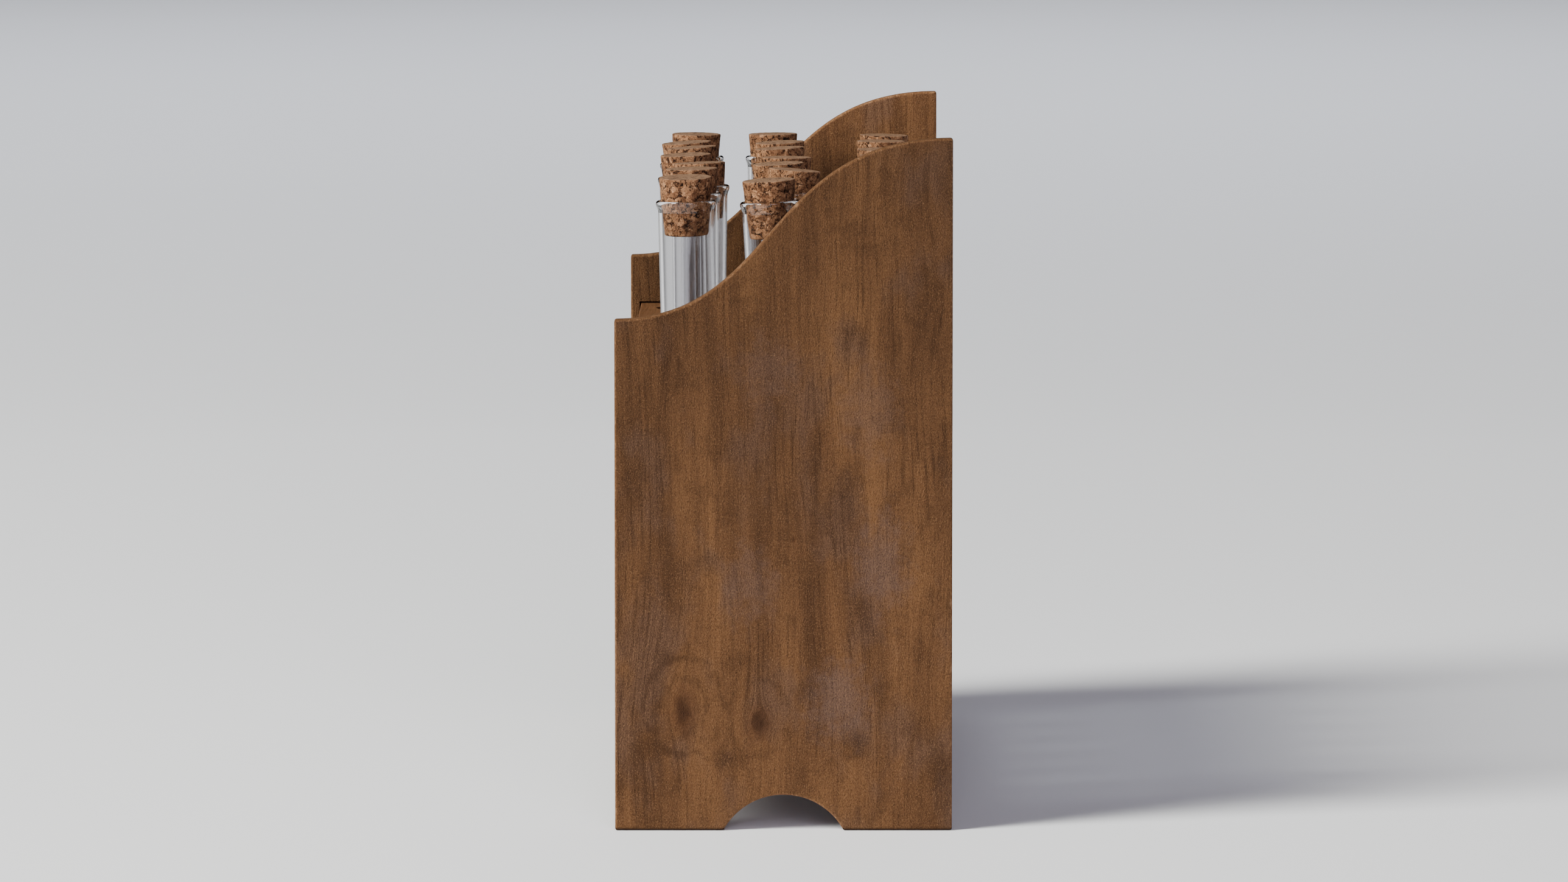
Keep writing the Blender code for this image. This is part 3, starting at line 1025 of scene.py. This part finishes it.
# The photograph's camera, from the fit of the two panels' corners; the distance is from the near panel
CAMERA_DISTANCE = 2.2646
CAMERA_SIDE = 0.00015
CAMERA_HEIGHT = 0.331
CAMERA_PITCH = 5.534
LENS = 184.1
BACKDROP = (0.86, 0.87, 0.91, 1.0)
BACKDROP_STRENGTH = 0.9
GLOW = (0.92, 0.89, 1.0, 1.0)
WORLD_GLOW = 0.03
HORIZON_GLOW = 1.35
# The glow falls off between these heights on the unit sphere
HORIZON_BAND = (0.10, 0.34)
# Light only passes 28 faces of glass in line if it may bounce this often
BOUNCES = 40
WARM, COOL = (0.99, 1.0, 0.955), (0.88, 0.83, 1.0)
# Lamps: azimuth and elevation in degrees, size in metres, watts, colour, whether surfaces mirror it
LAMPS = {
    "key": (58.0, 45.0, 1.45, 205.0, WARM, True),
    "side": (62.0, 23.0, 1.40, 240.0, (0.99, 1.0, 0.965), False),
    "fill_high": (-10.0, 38.0, 2.00, 24.0, COOL, True),
    "fill_low": (-7.0, 17.0, 1.70, 62.0, COOL, False),
}
LAMP_DISTANCE = 4.0
LAMP_TARGET = (0.0, 0.0, 0.05)
CARD_RADIUS = 1.1
CARD_HEIGHT = 0.12
CARD_SIDES = 96
# The cards' brightness by direction, in degrees from +X towards +Y
CARD_SHADES = (
    (-180.0, 0.90),
    (-167.0, 0.85),
    (-161.0, 0.40),
    (-151.0, 0.42),
    (-146.0, 1.30),
    (-125.0, 1.30),
    (-119.0, 0.005),
    (90.0, 0.005),
    (98.0, 0.30),
    (114.0, 0.45),
    (130.0, 0.75),
    (138.0, 1.00),
    (150.0, 0.90),
    (158.0, 0.50),
    (180.0, 0.50),
)


def camera():
    """Looks along the rack from beyond its right end."""
    _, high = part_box("side_panel_right")
    data = bpy.data.cameras.new("camera")
    data.lens = LENS
    data.sensor_width = 36.0
    data.clip_end = 100.0
    made = bpy.data.objects.new("camera", data)
    made.location = (high.x + CAMERA_DISTANCE, CAMERA_SIDE, CAMERA_HEIGHT)
    made.rotation_euler = (math.radians(90 - CAMERA_PITCH), 0.0, math.radians(90))
    bpy.context.scene.collection.objects.link(made)
    bpy.context.scene.camera = made


def lamp(name, target, distance, azimuth, elevation, size, power, colour, mirrored, spread=180.0):
    """A soft round light, aimed at target. Azimuth is measured from +X towards -Y."""
    data = bpy.data.lights.new(name, "AREA")
    data.shape = "DISK"
    data.size = size
    data.energy = power
    data.color = colour
    data.spread = math.radians(spread)
    a, e = math.radians(azimuth), math.radians(elevation)
    direction = Vector((math.cos(a) * math.cos(e), -math.sin(a) * math.cos(e), math.sin(e)))
    made = bpy.data.objects.new(name, data)
    made.visible_glossy = mirrored
    made.visible_transmission = False
    made.location = Vector(target) + direction * distance
    made.rotation_mode = "QUATERNION"
    made.rotation_quaternion = direction.to_track_quat("Z", "Y")
    bpy.context.scene.collection.objects.link(made)


def card_material():
    """The shade of the surround by direction."""
    tree = Tree("surround_card")
    x, y, _ = tree.split(tree.add("ShaderNodeTexCoord").outputs["Object"])
    angle = tree.math("DEGREES", tree.math("ARCTAN2", y, x))
    stops = [((at + 180.0) / 360.0, (shade,) * 3) for at, shade in CARD_SHADES]
    level = tree.ramp(tree.over(tree.plus(angle, 180.0), 360.0), stops)
    return tree.finish(tree.add("ShaderNodeEmission", {"Color": level, "Strength": 1.0}).outputs[0])


def surround():
    """A low ring of cards that only the glass mirrors: dark towards the camera, grey behind."""
    bm = bmesh.new()
    origin = Vector((0.0, 0.0))
    low, high = (circle(bm, origin, CARD_RADIUS, z, CARD_SIDES) for z in (0.001, CARD_HEIGHT))
    join_rings(bm, low, high, smooth=False)
    ring = object_from(bm, "surround_cards", card_material())
    ring.visible_camera = False
    ring.visible_diffuse = False
    ring.visible_shadow = False
    ring.visible_volume_scatter = False


def world():
    """Pale to the camera, a low horizon glow for the light under the boards, and dark in reflections."""
    made = bpy.data.worlds.new("studio")
    made.use_nodes = True
    nodes, links = made.node_tree.nodes, made.node_tree.links
    nodes.clear()
    path = nodes.new("ShaderNodeLightPath")
    shown, glow = nodes.new("ShaderNodeBackground"), nodes.new("ShaderNodeBackground")
    shown.inputs["Color"].default_value = BACKDROP
    shown.inputs["Strength"].default_value = BACKDROP_STRENGTH
    glow.inputs["Color"].default_value = GLOW
    place, height = nodes.new("ShaderNodeTexCoord"), nodes.new("ShaderNodeSeparateXYZ")
    falloff = nodes.new("ShaderNodeMapRange")
    falloff.interpolation_type = "SMOOTHSTEP"
    for key, value in enumerate((*HORIZON_BAND, HORIZON_GLOW, WORLD_GLOW)):
        falloff.inputs[key + 1].default_value = value
    links.new(place.outputs["Generated"], height.inputs[0])
    links.new(height.outputs["Z"], falloff.inputs[0])
    links.new(falloff.outputs[0], glow.inputs["Strength"])
    unmirrored, mixed = nodes.new("ShaderNodeMixShader"), nodes.new("ShaderNodeMixShader")
    links.new(path.outputs["Is Glossy Ray"], unmirrored.inputs[0])
    links.new(glow.outputs[0], unmirrored.inputs[1])
    links.new(path.outputs["Is Camera Ray"], mixed.inputs[0])
    links.new(unmirrored.outputs[0], mixed.inputs[1])
    links.new(shown.outputs[0], mixed.inputs[2])
    links.new(mixed.outputs[0], nodes.new("ShaderNodeOutputWorld").inputs["Surface"])
    bpy.context.scene.world = made


def studio():
    bm = bmesh.new()
    bmesh.ops.create_grid(bm, x_segments=12, y_segments=12, size=15.0)
    ground = object_from(bm, "studio_floor", floor_material())
    ground.location = (-6.0, 0.0, 0.0)
    surround()
    for name, setting in LAMPS.items():
        lamp(name, LAMP_TARGET, LAMP_DISTANCE, *setting)
    lamp("backdrop", (-4.2, 0.0, 0.0), 3.2, 0.0, 90.0, 4.0, 66.0, (0.86, 0.90, 1.0), False, 110.0)
    world()


def main():
    panel_wood = wood("panel_pine", "YZX", PANEL_TONES, PANEL_KNOTS, painted_shading=PANEL_PAINTED_SHADING, spots=PANEL_SPOTS)
    far_wood = wood("far_panel_pine", "YZX", PANEL_TONES, FAR_KNOTS, painted_shading=FAR_PAINTED_SHADING)
    board_wood = wood("board_pine", "YXZ", BOARD_TONES, specks=0.4, roughness=0.5)
    side_panel("panel_right", "side_panel_right", panel_wood, 1.0)
    side_panel("panel_left", "side_panel_left", far_wood, 4.0)
    board("board_upper", "tube_board", False, board_wood)
    board("board_lower", "base_board", True, board_wood)
    glass, cork = glass_material(), cork_material()
    shape = cork_points()
    for row in ROWS:
        for index in range(TUBES_PER_ROW):
            corked_tube(row, index, glass, cork, shape)
    studio()
    camera()
    cycles = bpy.context.scene.cycles
    cycles.max_bounces = BOUNCES
    cycles.transmission_bounces = BOUNCES
    cycles.transparent_max_bounces = BOUNCES


main()
